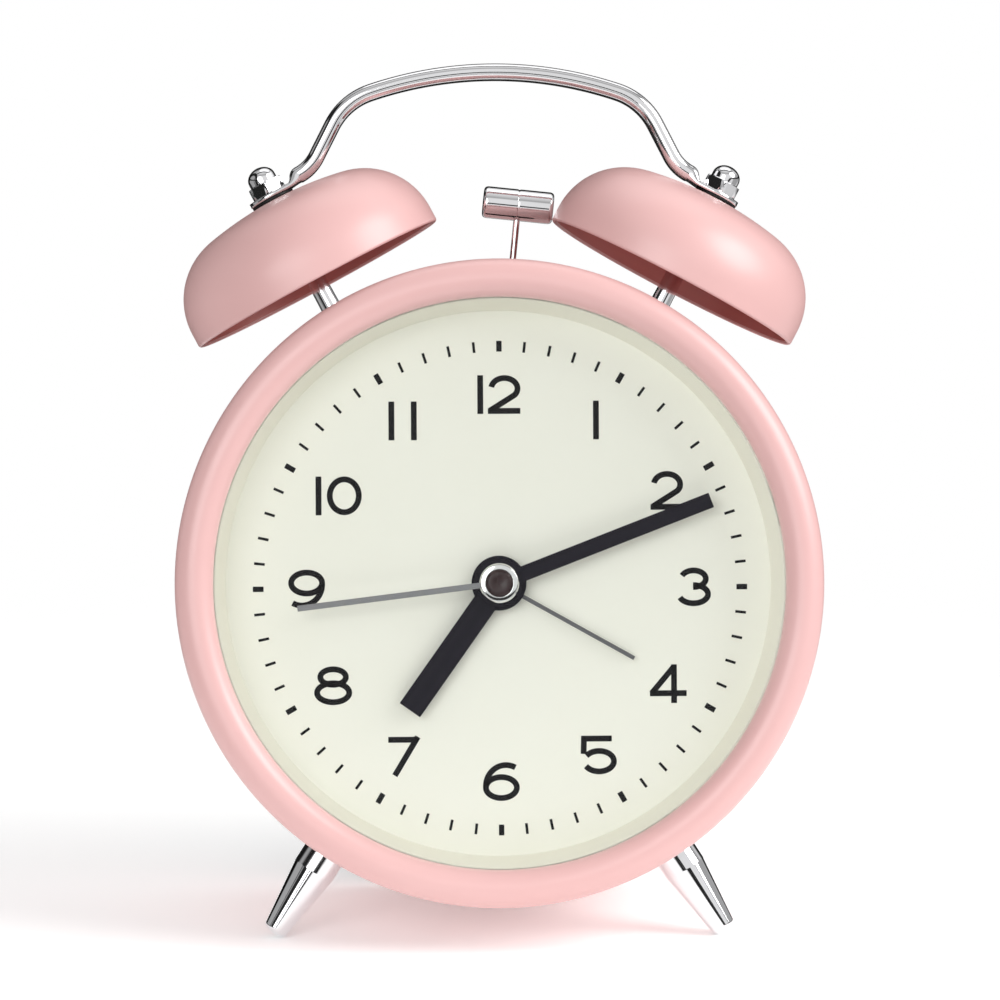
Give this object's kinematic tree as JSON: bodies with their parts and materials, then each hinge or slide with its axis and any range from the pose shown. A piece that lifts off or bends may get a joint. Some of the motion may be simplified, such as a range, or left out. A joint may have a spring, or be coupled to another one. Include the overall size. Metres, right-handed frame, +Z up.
{
  "type": "alarm clock",
  "caption": "Twin-bell alarm clock with a round drum case, domed bells on posts, a carrying handle, a swinging hammer, two front legs and a printed dial.",
  "frame": {"origin": "middle of the clock's box, on the surface it stands on", "axes": "+X to the right of a person facing the dial, +Y from the dial to the back, +Z up; the clock leans back onto the rear edge of its case"},
  "size_m": [0.12, 0.0778, 0.1588],
  "materials": {
    "pink_paint": "satin",
    "glass": "clear",
    "cream_card": "matt",
    "dial_ink": "matt",
    "black_enamel": "satin",
    "grey_enamel": "satin",
    "dark_polish": "polished",
    "chrome": "polished",
    "black_plastic": "textured",
    "knob_plastic": "moulded",
    "zinc_steel": "plated",
    "white_plastic": "moulded",
    "magnet_plastic": "moulded",
    "brass": "turned",
    "copper_wire": "wound",
    "board": "laminate",
    "cell_jacket": "printed"
  },
  "bodies": {
    "case": {"front_bezel": "pink_paint", "glass_lens": "glass", "dial_ring": "cream_card", "dial": "cream_card", "dial_print": "dial_ink", "case_drum": "pink_paint", "leg_left": "chrome", "bell_left": "pink_paint", "bell_post_left": "chrome", "leg_right": "chrome", "bell_right": "pink_paint", "bell_post_right": "chrome", "leg_nuts": "zinc_steel", "bell_washers": "black_enamel", "acorn_nuts": "chrome", "post_nuts": "zinc_steel", "handle": "chrome", "movement_front_plate": "white_plastic", "dial_nut": "black_enamel", "movement_middle_plate": "white_plastic", "movement_shell": "white_plastic", "stator": "zinc_steel", "coil": "copper_wire", "circuit_board": "board", "striker_front_plate": "zinc_steel", "striker_back_plate": "zinc_steel", "striker_spacers": "zinc_steel", "cover_posts": "zinc_steel", "striker_stud": "zinc_steel", "motor": "zinc_steel", "hammer_pivot_pin": "zinc_steel", "rear_cover": "black_plastic", "battery_cells": "cell_jacket", "battery_contacts": "zinc_steel", "cover_screws": "zinc_steel"},
    "seconds_work": {"second_hand": "grey_enamel", "hand_cap": "dark_polish", "seconds_wheel": "white_plastic"},
    "intermediate_work": {"intermediate_wheel": "white_plastic"},
    "rotor_work": {"rotor": "magnet_plastic"},
    "third_work": {"third_wheel": "white_plastic"},
    "centre_work": {"centre_wheel": "white_plastic"},
    "minute_work": {"minute_hand": "black_enamel", "cannon_pinion": "brass"},
    "motion_work": {"motion_wheel": "white_plastic"},
    "hour_work": {"hour_hand": "black_enamel", "hour_wheel": "white_plastic"},
    "time_setter": {"time_set_shaft": "white_plastic", "time_set_knob": "knob_plastic"},
    "alarm_work": {"alarm_hand": "grey_enamel", "alarm_wheel": "white_plastic"},
    "alarm_setter": {"alarm_set_shaft": "white_plastic", "alarm_set_knob": "knob_plastic"},
    "striker_work": {"striker_wheel": "white_plastic"},
    "motor_work": {"motor_pinion": "brass"},
    "hammer": {"hammer_head": "chrome", "hammer_rod": "chrome", "hammer_lever": "zinc_steel"},
    "switch": {"alarm_switch": "black_plastic"},
    "door": {"battery_door": "black_plastic"}
  },
  "joints": [
    {"name": "seconds_turn", "type": "hinge", "parent": "case", "child": "seconds_work", "pos_m": [0, -0.01287, 0.06505], "axis": [0, 0.9797, -0.2006], "continuous": true},
    {"name": "intermediate_turn", "type": "hinge", "parent": "case", "child": "intermediate_work", "pos_m": [0, -0.01505, 0.05439], "axis": [0, 0.9797, -0.2006], "continuous": true},
    {"name": "rotor_turn", "type": "hinge", "parent": "case", "child": "rotor_work", "pos_m": [0.00797, -0.01563, 0.05155], "axis": [0, 0.9797, -0.2006], "continuous": true},
    {"name": "third_turn", "type": "hinge", "parent": "case", "child": "third_work", "pos_m": [0, -0.01081, 0.07512], "axis": [0, 0.9797, -0.2006], "continuous": true},
    {"name": "centre_turn", "type": "hinge", "parent": "case", "child": "centre_work", "pos_m": [0, -0.01287, 0.06505], "axis": [0, 0.9797, -0.2006], "continuous": true},
    {"name": "minute_turn", "type": "hinge", "parent": "case", "child": "minute_work", "pos_m": [0, -0.01287, 0.06505], "axis": [0, 0.9797, -0.2006], "continuous": true},
    {"name": "motion_turn", "type": "hinge", "parent": "case", "child": "motion_work", "pos_m": [-0.00549, -0.01447, 0.05723], "axis": [0, 0.9797, -0.2006], "continuous": true},
    {"name": "hour_turn", "type": "hinge", "parent": "case", "child": "hour_work", "pos_m": [0, -0.01287, 0.06505], "axis": [0, 0.9797, -0.2006], "continuous": true},
    {"name": "time_setting", "type": "hinge", "parent": "case", "child": "time_setter", "pos_m": [-0.01578, -0.01407, 0.05917], "axis": [0, 0.9797, -0.2006], "continuous": true},
    {"name": "alarm_turn", "type": "hinge", "parent": "case", "child": "alarm_work", "pos_m": [0, -0.01287, 0.06505], "axis": [0, 0.9797, -0.2006], "continuous": true},
    {"name": "alarm_setting", "type": "hinge", "parent": "case", "child": "alarm_setter", "pos_m": [0.01578, -0.01407, 0.05917], "axis": [0, 0.9797, -0.2006], "continuous": true},
    {"name": "striker_turn", "type": "hinge", "parent": "case", "child": "striker_work", "pos_m": [0, -0.00946, 0.0817], "axis": [0, 0.9797, -0.2006], "continuous": true},
    {"name": "motor_turn", "type": "hinge", "parent": "case", "child": "motor_work", "pos_m": [0.01208, -0.00946, 0.0817], "axis": [0, 0.9797, -0.2006], "continuous": true},
    {"name": "hammer_swing", "type": "hinge", "parent": "case", "child": "hammer", "pos_m": [0, 0.0139, 0.0861], "axis": [0, 0.9797, -0.2006], "range_deg": [-13.32, 1.4]},
    {"name": "switch_slide", "type": "slide", "parent": "case", "child": "switch", "axis": [1, 0, 0], "range_m": [0, 0.004]},
    {"name": "door_tilt", "type": "hinge", "parent": "case", "child": "door", "pos_m": [0, 0.01592, 0.01225], "axis": [-1, 0, 0], "range_deg": [0, 60]}
  ],
  "couplings": [
    {"joint": "intermediate_turn", "follows": "seconds_turn", "ratio": -5},
    {"joint": "rotor_turn", "follows": "seconds_turn", "ratio": 30},
    {"joint": "third_turn", "follows": "seconds_turn", "ratio": -0.13333},
    {"joint": "centre_turn", "follows": "seconds_turn", "ratio": 0.016667},
    {"joint": "motion_turn", "follows": "minute_turn", "ratio": -0.33333},
    {"joint": "hour_turn", "follows": "minute_turn", "ratio": 0.083333},
    {"joint": "time_setting", "follows": "minute_turn", "ratio": 0.75},
    {"joint": "alarm_setting", "follows": "alarm_turn", "ratio": -3.2},
    {"joint": "motor_turn", "follows": "striker_turn", "ratio": -5}
  ]
}
